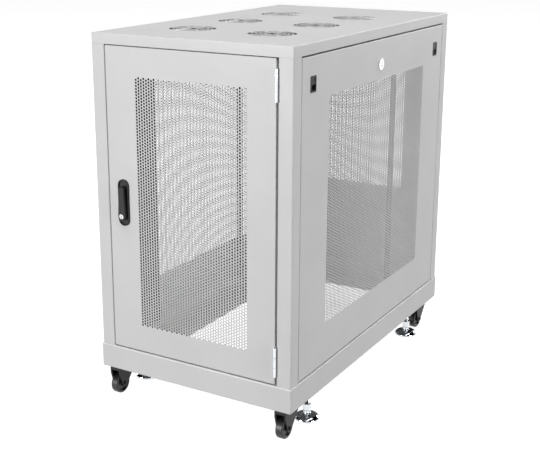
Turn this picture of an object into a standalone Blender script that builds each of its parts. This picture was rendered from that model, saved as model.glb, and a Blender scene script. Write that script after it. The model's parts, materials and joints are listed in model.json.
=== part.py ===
"""Server rack cabinet: an 18U, 19-inch floor cabinet on casters and levelling feet.

Metres, +Z up. The front door faces -Y and X runs left to right as seen from the front. The origin is on
the floor under the middle of the cabinet. Pieces on a vertical side are built in that side's own frame:
x to the right, y up and z out, as somebody who faces that side sees it.
"""

import math

import bmesh
import bpy
from mathutils import Matrix, Vector

# Whole cabinet
WIDTH = 0.600
DEPTH = 1.000
HEIGHT = 1.022
FLOOR_GAP = 0.086  # floor to the underside of the base
BASE_HEIGHT = 0.069
BASE_PROUD = 0.0025  # how far the base stands out past the posts
CAP_LIP = 0.028

# Sheet and fits
SHEET = 0.0015  # doors, panels and cover
FRAME_SHEET = 0.002  # posts, rails and frames
FOLD_RADIUS = 0.003
FOLD_STEPS = 2
FIT = 0.0003  # gap between pieces that lie on or in each other
RUNNING = 0.0003  # radial gap round a turning pin
OVERSHOOT = 0.005  # how far a cutter runs past what it cuts
ROUND = 20  # sides of a turned piece
SMALL_ROUND = 12
SMOOTH_BELOW = 35  # degrees between faces that are shaded as one

# Corner posts
POST_FACE = 0.041
POST_SIDE = 0.042
POST_DOOR_RETURN = 0.025
POST_PANEL_RETURN = 0.020

# Base and top frame
BASE_TOP_FLANGE = 0.0625  # front and rear; the sides reach to the mounting rails
BASE_SIDE_FLANGE = 0.0925
BASE_END_FLANGE = 0.0675
TOP_FRAME_HEIGHT = 0.030
TOP_FRAME_FLANGE = 0.040  # front and rear

# Cable entry in the cover
ENTRY_WIDTH = 0.320
ENTRY_DEPTH = 0.065
ENTRY_FROM_REAR = 0.0975  # rear edge of the cover to the middle of the entry
ENTRY_LAP = 0.010

# Doors
LATCH_GAP = 0.0015
HINGE_GAP = 0.005
DOOR_BOTTOM_GAP = 0.0025
DOOR_TOP_GAP = 0.002
DOOR_FOLD = 0.018

# Side panels
PANEL_END_GAP = 0.001
PANEL_BOTTOM_GAP = 0.002
PANEL_TOP_GAP = 0.004
PANEL_FOLD = 0.015

# Mounting rails for 19-inch equipment
RACK_UNIT = 0.04445
HOLE_STEPS = (0.00635, 0.022225, 0.0381)  # holes of one unit, from its lower edge
HOLE_LINES = 0.4651  # distance between the two columns of holes
HOLE_SIZE = 0.0095
RAIL_OPENING = 0.450
RAIL_FLANGE = 0.035
RAIL_WEB = 0.117
RAIL_SEAT = 0.020  # how far the side flanges reach past the webs, under and over the rails
RAIL_SETBACK = 0.100  # front of the cabinet to the face of the front rails
REAR_RAIL_SETBACK = 0.668
REAR_RAIL_WEB = 0.020
REAR_RAIL_FLANGE = 0.006

# Barrel hinges
HINGE_HEIGHT = 0.080
HINGE_RADIUS = 0.00425
HINGE_STANDOFF = 0.0005  # barrel to the face of the door
HINGE_PIN_RADIUS = 0.0024
KNUCKLE = 0.026
LEAF = 0.0012
FRAME_LEAF_DEPTH = 0.022
DOOR_LEAF_DEPTH = 0.015
HINGE_EDGE = 0.024  # end of the door to the end of the hinge

# Swing handle on the front door
HANDLE_WIDTH = 0.034
HANDLE_LENGTH = 0.128
HANDLE_FROM_EDGE = 0.0485  # free edge of the door to the middle of the handle
HANDLE_MIDDLE = 0.576  # height above the floor
DISH_RIM = 0.005
DISH_WALL = 0.003
DISH_FLOOR = 0.001
LEVER_WIDTH = 0.024
LEVER_LENGTH = 0.094
LEVER_BELOW_TOP = 0.018  # top of the dish to the top of the lever
LEVER_THICKNESS = 0.009
LEVER_STANDOFF = 0.0005
LEVER_PIVOT_IN = 0.007  # top of the lever to its pivot
SPINDLE_RADIUS = 0.006
SPINDLE_BOSS = 0.009
SPINDLE_DEPTH = 0.034
SPINDLE_PROUD = 0.002  # clear of the lever's back when the lever is pulled out
TONGUE_WIDTH = 0.006
TONGUE_HALF = 0.0025
TONGUE_TIP = 0.002
TONGUE_ROOM = 0.0035
HANDLE_CAM_LENGTH = 0.044
PLUG_RADIUS = 0.0068
PLUG_PROUD = 0.001

# Cam locks on the side panels and the rear door
LOCK_FLANGE_RADIUS = 0.016
LOCK_FLANGE = 0.0025
LOCK_BODY_RADIUS = 0.0095
LOCK_DEPTH = 0.018
LOCK_PLUG_RADIUS = 0.0065
LOCK_PLUG_RECESS = 0.0008
CAM_WIDTH = 0.014
CAM_THICKNESS = 0.0025
CAM_LENGTH = 0.040
KEYWAY = (0.0016, 0.008, 0.003)
LOCK_BELOW_CAP = 0.073  # underside of the cap to the locks and latches
REAR_LOCK_FROM_EDGE = 0.048

# Slide latches on the side panels
LATCH_WIDTH = 0.030
LATCH_HEIGHT = 0.041
LATCH_LIP = 0.001
LATCH_RIM = 0.004
LATCH_SLEEVE = 0.006
LATCH_LAP = 0.0008
LATCH_FROM_MIDDLE = 0.400
SLIDER_HEIGHT = 0.018
SLIDER_PLATE = 0.002
BOLT_WIDTH = 0.008
BOLT_REACH = 0.038  # middle of the latch to the tip of its bolt

# Casters
CASTER_INSET = 0.033  # side of the cabinet to the swivel axis
CASTER_FROM_END = 0.056
CASTER_PLATE = 0.060
CASTER_PLATE_THICKNESS = 0.003
WHEEL_RADIUS = 0.030
WHEEL_WIDTH = 0.022
WHEEL_TRAIL = 0.027
HUB_WIDTH = 0.023
HUB_WALL = 0.005
WHEEL_RIM = 0.007  # tread to the dished web
WHEEL_WEB = 0.012
TREAD_CHAMFER = 0.0025
AXLE_RADIUS = 0.004
FORK_WIDTH = 0.034
FORK_SLOT = 0.024
FORK_FRONT = 0.049
FORK_BACK = 0.024
FORK_SLAB = 0.009
FORK_PLATE_GAP = 0.0007
FORK_EAR = 0.011
KINGPIN_RADIUS = 0.007
KINGPIN_HEAD = 0.010

# Levelling feet
FOOT_FROM_END = 0.156
FOOT_RADIUS = 0.035
FOOT_DISC = 0.017
FOOT_DOME = ((0.62, 0.84), (0.90, 0.50), (1.00, 0.25))  # shares of the radius and the height
FOOT_NECK = 0.010
FOOT_HEX_FLATS = 0.020
FOOT_HEX_LOW = 0.026
FOOT_HEX_HIGH = 0.044
STEM_RADIUS = 0.006
STEM_CHAMFER = 0.001
STEM_ABOVE_BASE = 0.024

BASE_TOP = FLOOR_GAP + BASE_HEIGHT
CAP_BOTTOM = HEIGHT - CAP_LIP
DOOR_LOW = BASE_TOP + DOOR_BOTTOM_GAP
DOOR_HIGH = CAP_BOTTOM - DOOR_TOP_GAP
HINGE_X = WIDTH / 2 - POST_FACE - HINGE_GAP / 2
HINGE_OUT = HINGE_RADIUS + HINGE_STANDOFF
LOCK_HEIGHT = CAP_BOTTOM - LOCK_BELOW_CAP
RAIL_X = RAIL_OPENING / 2 + RAIL_FLANGE
RACK_UNITS = int((CAP_BOTTOM - BASE_TOP - 2 * FRAME_SHEET) / RACK_UNIT)
PLACES = ("front_left", "front_right", "rear_left", "rear_right")


def clear_scene():
    for obj in list(bpy.data.objects):
        bpy.data.objects.remove(obj, do_unlink=True)


def new_collection(name):
    group = bpy.data.collections.new(name)
    bpy.context.scene.collection.children.link(group)
    return group


def finish(name, colour, roughness, metallic):
    """A plain material with one colour, given as linear red, green and blue."""
    made = bpy.data.materials.new(name)
    made.use_nodes = True
    shader = made.node_tree.nodes["Principled BSDF"]
    shader.inputs["Base Color"].default_value = (*colour, 1.0)
    shader.inputs["Roughness"].default_value = roughness
    shader.inputs["Metallic"].default_value = metallic
    return made


clear_scene()
CABINET = new_collection("server_rack_cabinet")
CUTTERS = new_collection("cutters")
GREY_PAINT = finish("grey_powder_coat", (0.62, 0.62, 0.61), 0.45, 0.0)
BLACK_PAINT = finish("black_powder_coat", (0.02, 0.02, 0.02), 0.5, 0.0)
BLACK_PLASTIC = finish("black_plastic", (0.015, 0.015, 0.015), 0.4, 0.0)
CHROME = finish("chrome_plate", (0.8, 0.8, 0.8), 0.12, 1.0)
TYRE = finish("black_tyre", (0.02, 0.02, 0.02), 0.7, 0.0)


# Modelling tools


def block(low, high):
    """A box between two corners."""
    bm = bmesh.new()
    low, high = Vector(low), Vector(high)
    bmesh.ops.create_cube(bm, size=1.0)
    bmesh.ops.scale(bm, vec=high - low, verts=bm.verts)
    bmesh.ops.translate(bm, vec=(low + high) / 2, verts=bm.verts)
    return bm


def rod(start, end, radius, sides=SMALL_ROUND):
    """A cylinder between two points."""
    bm = bmesh.new()
    start, end = Vector(start), Vector(end)
    turn = Vector((0, 0, 1)).rotation_difference(end - start).to_matrix().to_4x4()
    bmesh.ops.create_cone(
        bm,
        cap_ends=True,
        segments=sides,
        radius1=radius,
        radius2=radius,
        depth=(end - start).length,
        matrix=Matrix.Translation((start + end) / 2) @ turn,
    )
    return bm


def prism(outline, low, high, along):
    """A flat outline swept along one axis from low to high."""
    bm = bmesh.new()
    order = {"X": (2, 0, 1), "Z": (0, 1, 2)}[along]
    corners = [(u, v, low) for u, v in outline]
    face = bm.faces.new([bm.verts.new([p[i] for i in order]) for p in corners])
    swept = bmesh.ops.extrude_face_region(bm, geom=[face])["geom"]
    step = Vector([(0, 0, high - low)[i] for i in order])
    bmesh.ops.translate(bm, vec=step, verts=[e for e in swept if isinstance(e, bmesh.types.BMVert)])
    bmesh.ops.recalc_face_normals(bm, faces=bm.faces)
    return bm


def arc(centre, radius, start, end, steps):
    """Points on an arc, angles in radians."""
    angles = [start + (end - start) * i / steps for i in range(steps + 1)]
    return [(centre[0] + radius * math.cos(a), centre[1] + radius * math.sin(a)) for a in angles]


def capsule(width, length, x, y, steps=8):
    """An upright outline with two half-round ends, centred on x and y."""
    radius = width / 2
    straight = length / 2 - radius
    upper = arc((x, y + straight), radius, 0, math.pi, steps)
    lower = arc((x, y - straight), radius, math.pi, 2 * math.pi, steps)
    return upper + lower


def smooth(mesh):
    mesh.shade_smooth()
    mesh.set_sharp_from_angle(angle=math.radians(SMOOTH_BELOW))


def piece(name, bm, material, parent=None, origin=(0, 0, 0)):
    """Turns a bmesh into a named part whose origin is at a point of its own."""
    bmesh.ops.translate(bm, vec=-Vector(origin), verts=bm.verts)
    mesh = bpy.data.meshes.new(name)
    bm.to_mesh(mesh)
    bm.free()
    smooth(mesh)
    mesh.materials.append(material)
    obj = bpy.data.objects.new(name, mesh)
    CABINET.objects.link(obj)
    obj.parent = parent
    obj.location = origin
    return obj


def combine(obj, bm, operation, parent=None):
    """Adds a bmesh to a part, or cuts it away."""
    mesh = bpy.data.meshes.new(obj.name + "_tool")
    bm.to_mesh(mesh)
    bm.free()
    tool = bpy.data.objects.new(mesh.name, mesh)
    CUTTERS.objects.link(tool)
    tool.parent = parent
    tool.hide_render = True
    tool.display_type = "WIRE"
    boolean = obj.modifiers.new(operation.lower(), "BOOLEAN")
    boolean.operation = operation
    boolean.solver = "EXACT"
    boolean.object = tool


def fold(obj, thickness):
    """Rounds the folds of an open sheet and gives it its thickness, inwards."""
    bend = obj.modifiers.new("bend", "BEVEL")
    bend.width = FOLD_RADIUS
    bend.segments = FOLD_STEPS
    bend.limit_method = "ANGLE"
    wall = obj.modifiers.new("sheet", "SOLIDIFY")
    wall.thickness = thickness
    wall.offset = -1
    wall.use_even_offset = True


def turned(name, profile, material, parent=None, location=(0, 0, 0), lie=(0, 0, 0), ring=False):
    """A profile of (radius, height) points, outer side first and top to bottom, spun round its axis."""
    bm = bmesh.new()
    points = [bm.verts.new((radius, 0, height)) for radius, height in profile]
    pairs = list(zip(points, points[1:]))
    if ring:
        pairs.append((points[-1], points[0]))
    for pair in pairs:
        bm.edges.new(pair)
    obj = piece(name, bm, material, parent)
    obj.location = location
    obj.rotation_euler = lie
    screw = obj.modifiers.new("spin", "SCREW")
    screw.steps = ROUND
    screw.render_steps = ROUND
    screw.use_merge_vertices = True
    screw.merge_threshold = 0.00005
    return obj


def strip(outline, low, high):
    """An upright open sheet that follows an outline of (x, y) points."""
    bm = bmesh.new()
    points = [bm.verts.new((x, y, low)) for x, y in outline]
    edges = [bm.edges.new(pair) for pair in zip(points, points[1:])]
    swept = bmesh.ops.extrude_edge_only(bm, edges=edges)["geom"]
    raised = [e for e in swept if isinstance(e, bmesh.types.BMVert)]
    bmesh.ops.translate(bm, vec=(0, 0, high - low), verts=raised)
    return bm


def side_frame(name, location, normal):
    """An empty on the foot of one side of the cabinet: x to the right, y up and z out."""
    up, out = Vector((0, 0, 1)), Vector(normal)
    turn = Matrix((up.cross(out), up, out)).transposed()
    empty = bpy.data.objects.new(name, None)
    CABINET.objects.link(empty)
    empty.location = location
    empty.rotation_euler = turn.to_euler()
    return empty


# Frame


def base_frame():
    """A channel ring, open in the middle, with holes for the stems of the feet."""
    x, y = WIDTH / 2 + BASE_PROUD, DEPTH / 2 + BASE_PROUD
    base = piece("base_frame", block((-x, -y, FLOOR_GAP), (x, y, BASE_TOP)), GREY_PAINT)
    bend = base.modifiers.new("bend", "BEVEL")
    bend.width = FOLD_RADIUS
    bend.segments = FOLD_STEPS
    wall = FRAME_SHEET
    hollow = block((wall - x, wall - y, FLOOR_GAP + wall), (x - wall, y - wall, BASE_TOP - wall))
    combine(base, hollow, "DIFFERENCE")
    middle = (FLOOR_GAP + BASE_TOP) / 2
    top_x, top_y = RAIL_X - RAIL_SEAT, y - BASE_TOP_FLANGE
    top = block((-top_x, -top_y, middle), (top_x, top_y, BASE_TOP + OVERSHOOT))
    combine(base, top, "DIFFERENCE")
    low_x, low_y = x - BASE_SIDE_FLANGE, y - BASE_END_FLANGE
    low = block((-low_x, -low_y, FLOOR_GAP - OVERSHOOT), (low_x, low_y, middle + OVERSHOOT))
    combine(base, low, "DIFFERENCE")
    for foot_x, foot_y in corners(FOOT_FROM_END):
        start = (foot_x, foot_y, FLOOR_GAP - OVERSHOOT)
        end = (foot_x, foot_y, FLOOR_GAP + OVERSHOOT)
        combine(base, rod(start, end, STEM_RADIUS + 2 * RUNNING), "DIFFERENCE")


def corners(from_end):
    """Where four corner pieces stand, in the order of PLACES."""
    x, y = WIDTH / 2 - CASTER_INSET, DEPTH / 2 - from_end
    return [(-x, -y), (x, -y), (-x, y), (x, y)]


def posts():
    """Four folded corner posts, each with a return beside the door and one beside the panel."""
    x, y = WIDTH / 2, DEPTH / 2
    outline = [
        (x - POST_FACE, y - POST_DOOR_RETURN),
        (x - POST_FACE, y),
        (x, y),
        (x, y - POST_SIDE),
        (x - POST_PANEL_RETURN, y - POST_SIDE),
    ]
    for place, (across, along) in zip(PLACES, ((-1, -1), (1, -1), (-1, 1), (1, 1))):
        points = [(px * across, py * along) for px, py in outline]
        if across * along < 0:
            points.reverse()
        post = piece(f"post_{place}", strip(points, BASE_TOP + FIT, CAP_BOTTOM - FIT), GREY_PAINT)
        fold(post, FRAME_SHEET)


def top_frame():
    """An angle ring inside the heads of the posts, which carries the cover."""
    x = WIDTH / 2 - POST_PANEL_RETURN - FIT
    y = DEPTH / 2 - POST_DOOR_RETURN - FIT
    high, wall = CAP_BOTTOM - FIT, FRAME_SHEET
    low = high - TOP_FRAME_HEIGHT
    ring = piece("top_frame", block((-x, -y, low), (x, y, high)), GREY_PAINT)
    inside = block((wall - x, wall - y, low - OVERSHOOT), (x - wall, y - wall, high - wall))
    combine(ring, inside, "DIFFERENCE")
    open_x, open_y = RAIL_X - RAIL_SEAT - FIT, y - TOP_FRAME_FLANGE
    opening = block((-open_x, -open_y, low), (open_x, open_y, high + OVERSHOOT))
    combine(ring, opening, "DIFFERENCE")


def top_cover():
    """The cover with its lip, and the plate that closes its cable entry from below."""
    x, y = WIDTH / 2, DEPTH / 2
    bm = block((-x, -y, CAP_BOTTOM), (x, y, HEIGHT))
    under = [face for face in bm.faces if face.normal.z < -0.5]
    bmesh.ops.delete(bm, geom=under, context="FACES")
    cover = piece("top_cover", bm, GREY_PAINT)
    fold(cover, SHEET)
    middle = y - ENTRY_FROM_REAR
    half_x, half_y = ENTRY_WIDTH / 2, ENTRY_DEPTH / 2
    low, high = HEIGHT - SHEET, HEIGHT
    entry_low = (-half_x, middle - half_y, low - OVERSHOOT)
    combine(cover, block(entry_low, (half_x, middle + half_y, high + OVERSHOOT)), "DIFFERENCE")
    plate_x, plate_y = half_x - FIT, half_y - FIT
    lap_x, lap_y = half_x + ENTRY_LAP, half_y + ENTRY_LAP
    plate_low = (-plate_x, middle - plate_y, low - SHEET)
    plate = piece("cable_entry_cover", block(plate_low, (plate_x, middle + plate_y, high)), GREY_PAINT)
    lap_low = (-lap_x, middle - lap_y, low - FIT - SHEET)
    combine(plate, block(lap_low, (lap_x, middle + lap_y, low - FIT)), "UNION")


def rail_rows(low, high):
    """Heights of the edges of every square hole, between the two ends of a rail."""
    first = (low + high - RACK_UNITS * RACK_UNIT) / 2
    rows = [low]
    for unit in range(RACK_UNITS):
        for step in HOLE_STEPS:
            middle = first + unit * RACK_UNIT + step
            rows += [middle - HOLE_SIZE / 2, middle + HOLE_SIZE / 2]
    return rows + [high]


def front_rail(side):
    """A 19-inch mounting rail: a flange with three square holes to each unit, and a web behind it."""
    low, high = BASE_TOP + FIT, CAP_BOTTOM - 2 * FIT - FRAME_SHEET
    face = -DEPTH / 2 + RAIL_SETBACK
    rows = rail_rows(low, high)
    line = HOLE_LINES / 2
    columns = [RAIL_OPENING / 2, line - HOLE_SIZE / 2, line + HOLE_SIZE / 2, RAIL_X]
    bm = bmesh.new()
    bmesh.ops.create_grid(bm, x_segments=len(columns) - 1, y_segments=len(rows) - 1, size=1.0)
    across = sorted({round(v.co.x, 5) for v in bm.verts})
    up = sorted({round(v.co.y, 5) for v in bm.verts})
    for vert in bm.verts:
        column = across.index(round(vert.co.x, 5))
        row = up.index(round(vert.co.y, 5))
        vert.co = (side * columns[column], face, rows[row])
    holes = [f for f in bm.faces if is_hole(f, line, rows)]
    bmesh.ops.delete(bm, geom=holes, context="FACES")
    outer = [e for e in bm.edges if all(abs(abs(v.co.x) - RAIL_X) < FIT for v in e.verts)]
    swept = bmesh.ops.extrude_edge_only(bm, edges=outer)["geom"]
    back = [e for e in swept if isinstance(e, bmesh.types.BMVert)]
    bmesh.ops.translate(bm, vec=(0, RAIL_WEB, 0), verts=back)
    bmesh.ops.recalc_face_normals(bm, faces=bm.faces)
    bm.faces.ensure_lookup_table()
    front = next(f for f in bm.faces if abs(f.normal.y) > 0.5)
    if front.normal.y > 0:
        bmesh.ops.reverse_faces(bm, faces=bm.faces)
    rail = piece("mounting_rail_front_" + ("left" if side < 0 else "right"), bm, BLACK_PAINT)
    wall = rail.modifiers.new("sheet", "SOLIDIFY")
    wall.thickness = FRAME_SHEET
    wall.offset = -1
    wall.use_even_offset = True


def is_hole(face, line, rows):
    """Whether a cell of a rail's flange is one of its square holes."""
    middle = face.calc_center_median()
    on_line = abs(abs(middle.x) - line) < HOLE_SIZE / 4
    starts = rows[1:-1:2]
    return on_line and any(start < middle.z < start + HOLE_SIZE for start in starts)


def rear_rail(side):
    """A plain upright channel, open towards the side of the cabinet."""
    low, high = BASE_TOP + FIT, CAP_BOTTOM - 2 * FIT - FRAME_SHEET
    start = -DEPTH / 2 + REAR_RAIL_SETBACK
    end = start + REAR_RAIL_WEB
    x, out = side * RAIL_X, side * (RAIL_X + REAR_RAIL_FLANGE)
    points = [(out, start), (x, start), (x, end), (out, end)]
    if side > 0:
        points.reverse()
    name = "mounting_rail_rear_" + ("left" if side < 0 else "right")
    fold(piece(name, strip(points, low, high), BLACK_PAINT), FRAME_SHEET)


# Doors, panels and what they carry


def tray(name, side, left, right, low, high, depth, origin):
    """A folded sheet, open at the back, with its face in the plane of the side."""
    bm = block((left, low, -depth), (right, high, 0))
    back = [face for face in bm.faces if face.normal.z < -0.5]
    bmesh.ops.delete(bm, geom=back, context="FACES")
    sheet = piece(name, bm, GREY_PAINT, side, origin)
    fold(sheet, SHEET)
    return sheet


def door(name, side):
    """A door hung on its right-hand edge, with its origin on the hinge axis."""
    left = -WIDTH / 2 + POST_FACE + LATCH_GAP
    right = WIDTH / 2 - POST_FACE - HINGE_GAP
    origin = (HINGE_X, 0, HINGE_OUT)
    return tray(name, side, left, right, DOOR_LOW, DOOR_HIGH, DOOR_FOLD, origin)


def knuckle(low, high):
    return rod((HINGE_X, low, HINGE_OUT), (HINGE_X, high, HINGE_OUT), HINGE_RADIUS, ROUND)


def hinge(prefix, side, low, loose_pin):
    """A barrel hinge: two outer knuckles on the frame's leaf and one between them on the door's leaf."""
    high = low + HINGE_HEIGHT
    inner_low, inner_high = low + KNUCKLE + FIT, high - KNUCKLE - FIT
    plate_out = HINGE_OUT - HINGE_RADIUS - HINGE_STANDOFF
    frame_x = HINGE_X + HINGE_GAP / 2 - FIT
    frame_leaf = piece(
        prefix + "_frame_leaf",
        block((frame_x - LEAF, low, -FRAME_LEAF_DEPTH), (frame_x, high, plate_out)),
        CHROME,
        side,
    )
    for start in (low, high - KNUCKLE):
        tab = block((frame_x - LEAF, start, plate_out - LEAF), (frame_x, start + KNUCKLE, HINGE_OUT))
        combine(frame_leaf, tab, "UNION", side)
        combine(frame_leaf, knuckle(start, start + KNUCKLE), "UNION", side)
    door_x = HINGE_X - HINGE_GAP / 2 + FIT
    origin = (HINGE_X, low, HINGE_OUT)
    leaf = block((door_x, low, -DOOR_LEAF_DEPTH), (door_x + LEAF, high, plate_out))
    door_leaf = piece(prefix + "_door_leaf", leaf, CHROME, side, origin)
    tab = block((door_x, inner_low, plate_out - LEAF), (door_x + LEAF, inner_high, HINGE_OUT))
    combine(door_leaf, tab, "UNION", side)
    combine(door_leaf, knuckle(inner_low, inner_high), "UNION", side)
    bore = HINGE_PIN_RADIUS + RUNNING
    past_low, past_high = low - OVERSHOOT, high + OVERSHOOT
    drill = ((HINGE_X, past_low, HINGE_OUT), (HINGE_X, past_high, HINGE_OUT))
    combine(door_leaf, rod(*drill, bore), "DIFFERENCE", side)
    start, end = (HINGE_X, low, HINGE_OUT), (HINGE_X, high, HINGE_OUT)
    if loose_pin:
        combine(frame_leaf, rod(*drill, bore), "DIFFERENCE", side)
        piece(prefix + "_pin", rod(start, end, HINGE_PIN_RADIUS), CHROME, side, start)
    else:
        inside = ((HINGE_X, low + LEAF, HINGE_OUT), (HINGE_X, high - LEAF, HINGE_OUT))
        combine(frame_leaf, rod(*inside, HINGE_PIN_RADIUS), "UNION", side)


def handle(side, front_door):
    """The swing handle: its dish, the lever in front of it, the spindle with its cam, and the lock plug."""
    x = -WIDTH / 2 + POST_FACE + LATCH_GAP + HANDLE_FROM_EDGE
    top = HANDLE_MIDDLE + HANDLE_LENGTH / 2
    rim = capsule(HANDLE_WIDTH, HANDLE_LENGTH, x, HANDLE_MIDDLE)
    dish = piece("handle_dish", prism(rim, FIT, DISH_RIM, "Z"), BLACK_PLASTIC, side, (x, HANDLE_MIDDLE, 0))
    recess = capsule(HANDLE_WIDTH - 2 * DISH_WALL, HANDLE_LENGTH - 2 * DISH_WALL, x, HANDLE_MIDDLE)
    combine(dish, prism(recess, DISH_FLOOR + FIT, DISH_RIM + OVERSHOOT, "Z"), "DIFFERENCE", side)

    lever_top = top - LEVER_BELOW_TOP
    pivot = lever_top - LEVER_PIVOT_IN
    boss_end = -SHEET - 2 * LEAF
    boss = rod((x, pivot, boss_end), (x, pivot, DISH_FLOOR), SPINDLE_BOSS, ROUND)
    combine(dish, boss, "UNION", side)
    through = ((x, pivot, boss_end - OVERSHOOT), (x, pivot, DISH_RIM + OVERSHOOT))
    combine(dish, rod(*through, SPINDLE_RADIUS + RUNNING, ROUND), "DIFFERENCE", side)
    door_hole = rod((x, pivot, -OVERSHOOT), (x, pivot, OVERSHOOT), SPINDLE_BOSS + FIT, ROUND)
    combine(front_door, door_hole, "DIFFERENCE", side)

    lever_back = DISH_RIM + LEVER_STANDOFF
    lever_front = lever_back + LEVER_THICKNESS
    pivot_out = (lever_back + lever_front) / 2
    middle = lever_top - LEVER_LENGTH / 2
    outline = capsule(LEVER_WIDTH, LEVER_LENGTH, x, middle)
    body = prism(outline, lever_back, lever_front, "Z")
    lever = piece("handle_lever", body, BLACK_PLASTIC, side, (x, pivot, pivot_out))
    room = TONGUE_WIDTH / 2 + RUNNING
    tongue_end = pivot_out + TONGUE_TIP
    slot_low = (x - room, pivot - TONGUE_HALF - TONGUE_ROOM, lever_back - OVERSHOOT)
    slot_high = (x + room, pivot + TONGUE_HALF + TONGUE_ROOM, tongue_end + TONGUE_TIP / 2 + RUNNING)
    combine(lever, block(slot_low, slot_high), "DIFFERENCE", side)
    plug_y = lever_top - LEVER_LENGTH + LEVER_WIDTH / 2
    plug_hole = ((x, plug_y, lever_back - OVERSHOOT), (x, plug_y, lever_front + OVERSHOOT))
    combine(lever, rod(*plug_hole, PLUG_RADIUS + RUNNING, ROUND), "DIFFERENCE", side)

    plug_ends = ((x, plug_y, lever_back), (x, plug_y, lever_front + PLUG_PROUD))
    origin = (x, plug_y, lever_back)
    plug = piece("handle_lock_plug", rod(*plug_ends, PLUG_RADIUS, ROUND), CHROME, side, origin)
    combine(plug, keyway(x, plug_y, lever_front + PLUG_PROUD), "DIFFERENCE", side)

    shaft = rod((x, pivot, -SPINDLE_DEPTH), (x, pivot, SPINDLE_PROUD), SPINDLE_RADIUS, ROUND)
    spindle = piece("handle_spindle", shaft, CHROME, side, (x, pivot, 0))
    half = TONGUE_WIDTH / 2
    tongue_low = (x - half, pivot - TONGUE_HALF, 0)
    combine(spindle, block(tongue_low, (x + half, pivot + TONGUE_HALF, tongue_end)), "UNION", side)
    cam_out = -SPINDLE_DEPTH + CAM_THICKNESS
    cam_low = (x - HANDLE_CAM_LENGTH, pivot - CAM_WIDTH / 2, cam_out - CAM_THICKNESS / 2)
    cam = block(cam_low, (x, pivot + CAM_WIDTH / 2, cam_out + CAM_THICKNESS / 2))
    combine(spindle, cam, "UNION", side)


def keyway(x, y, front):
    """The slot for the key in the face of a plug."""
    width, height, depth = KEYWAY
    low = (x - width / 2, y - height / 2, front - depth)
    return block(low, (x + width / 2, y + height / 2, front + OVERSHOOT))


def cam_lock(prefix, side, sheet, x, cam_way):
    """A cam lock: the barrel in the sheet, and the plug that turns in it and carries the cam."""
    y = LOCK_HEIGHT if cam_way == "up" else HANDLE_MIDDLE
    bore = LOCK_PLUG_RADIUS + RUNNING
    profile = [
        (bore, LOCK_FLANGE),
        (LOCK_FLANGE_RADIUS - LOCK_FLANGE / 2, LOCK_FLANGE),
        (LOCK_FLANGE_RADIUS, LOCK_FLANGE / 2),
        (LOCK_FLANGE_RADIUS, FIT),
        (LOCK_BODY_RADIUS, FIT),
        (LOCK_BODY_RADIUS, -LOCK_DEPTH),
        (bore, -LOCK_DEPTH),
    ]
    turned(prefix + "_barrel", profile, CHROME, side, (x, y, 0), ring=True)
    hole = rod((x, y, -PANEL_FOLD / 2), (x, y, OVERSHOOT), LOCK_BODY_RADIUS + FIT, ROUND)
    combine(sheet, hole, "DIFFERENCE", side)
    front, back = LOCK_FLANGE - LOCK_PLUG_RECESS, -LOCK_DEPTH - FIT - CAM_THICKNESS
    body = rod((x, y, back), (x, y, front), LOCK_PLUG_RADIUS, ROUND)
    plug = piece(prefix + "_plug", body, CHROME, side, (x, y, 0))
    combine(plug, keyway(x, y, front), "DIFFERENCE", side)
    half, reach = CAM_WIDTH / 2, CAM_LENGTH
    cam_back = back - CAM_THICKNESS / 2
    if cam_way == "up":
        low, high = (x - half, y - half, cam_back), (x + half, y + reach, back + CAM_THICKNESS)
    else:
        low, high = (x - reach, y - half, cam_back), (x + half, y + half, back + CAM_THICKNESS)
    combine(plug, block(low, high), "UNION", side)


def slide_latch(prefix, side, sheet, x):
    """A slide latch: its bezel in the panel, and the slider with the bolt that it draws down."""
    y = LOCK_HEIGHT
    half_x, half_y = LATCH_WIDTH / 2, LATCH_HEIGHT / 2
    lip = block((x - half_x, y - half_y, FIT), (x + half_x, y + half_y, LATCH_LIP))
    bezel = piece(prefix + "_bezel", lip, BLACK_PLASTIC, side, (x, y, 0))
    in_x, in_y = half_x - LATCH_LAP, half_y - LATCH_LAP
    sleeve = block((x - in_x, y - in_y, -LATCH_SLEEVE), (x + in_x, y + in_y, LATCH_LIP / 2))
    combine(bezel, sleeve, "UNION", side)
    open_x, open_y = half_x - LATCH_RIM, half_y - LATCH_RIM
    low = (x - open_x, y - open_y, -LATCH_SLEEVE - OVERSHOOT)
    combine(bezel, block(low, (x + open_x, y + open_y, LATCH_LIP + OVERSHOOT)), "DIFFERENCE", side)
    fit_x, fit_y = in_x + FIT, in_y + FIT
    window = block((x - fit_x, y - fit_y, -SHEET - OVERSHOOT), (x + fit_x, y + fit_y, OVERSHOOT))
    combine(sheet, window, "DIFFERENCE", side)

    pad_x, pad_top = open_x - FIT, y + open_y - FIT
    plate_out = -LATCH_SLEEVE - FIT
    pad_low = (x - pad_x, pad_top - SLIDER_HEIGHT, plate_out - SLIDER_PLATE / 2)
    pad = block(pad_low, (x + pad_x, pad_top, 0))
    slider = piece(prefix + "_slider", pad, BLACK_PLASTIC, side, (x, y, 0))
    plate_low = (x - in_x, pad_top - SLIDER_HEIGHT, plate_out - SLIDER_PLATE)
    combine(slider, block(plate_low, (x + in_x, pad_top + LATCH_RIM, plate_out)), "UNION", side)
    bolt_low = (x - BOLT_WIDTH / 2, y, plate_out - SLIDER_PLATE)
    bolt = block(bolt_low, (x + BOLT_WIDTH / 2, y + BOLT_REACH, plate_out - SLIDER_PLATE / 4))
    combine(slider, bolt, "UNION", side)


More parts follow.
